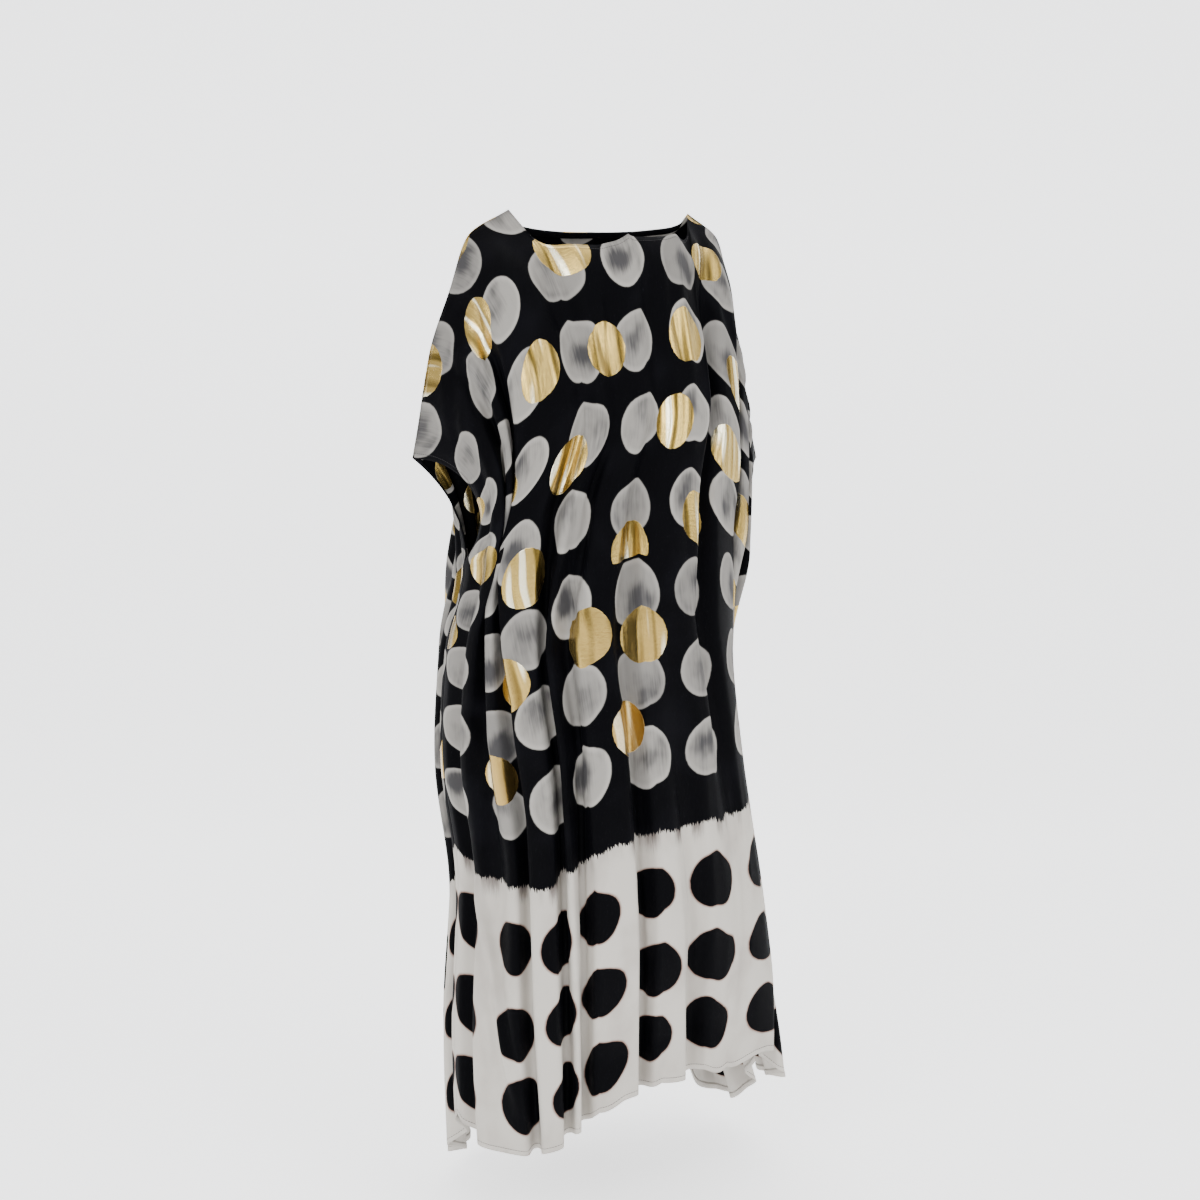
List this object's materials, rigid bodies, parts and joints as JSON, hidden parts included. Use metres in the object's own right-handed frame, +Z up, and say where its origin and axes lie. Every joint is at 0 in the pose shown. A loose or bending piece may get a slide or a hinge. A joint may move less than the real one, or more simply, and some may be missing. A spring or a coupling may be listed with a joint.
{
  "type": "kaftan",
  "caption": "Long loose kaftan held in its worn shape, boat neck, wide open sleeves over lowered arms, deep hanging folds, dyed spot cloth with a pale border.",
  "frame": {"origin": "middle of the line between the two neck corners, where the wearer's shoulders hold the garment up", "axes": "+Z up, the front faces -Y, the wearer's left is +X"},
  "size_m": [0.6321, 0.4687, 1.5608],
  "materials": {
    "dyed_cloth": "soft, slight sheen",
    "border_cloth": "matt"
  },
  "bodies": {
    "root": {"front_panel": "dyed_cloth", "hem_turn_front": "border_cloth", "neck_turn_front": "dyed_cloth", "cuff_turn_front_right": "dyed_cloth", "cuff_turn_front_left": "dyed_cloth", "back_panel": "dyed_cloth", "hem_turn_back": "border_cloth", "neck_turn_back": "dyed_cloth", "cuff_turn_back_right": "dyed_cloth", "cuff_turn_back_left": "dyed_cloth"}
  },
  "joints": []
}
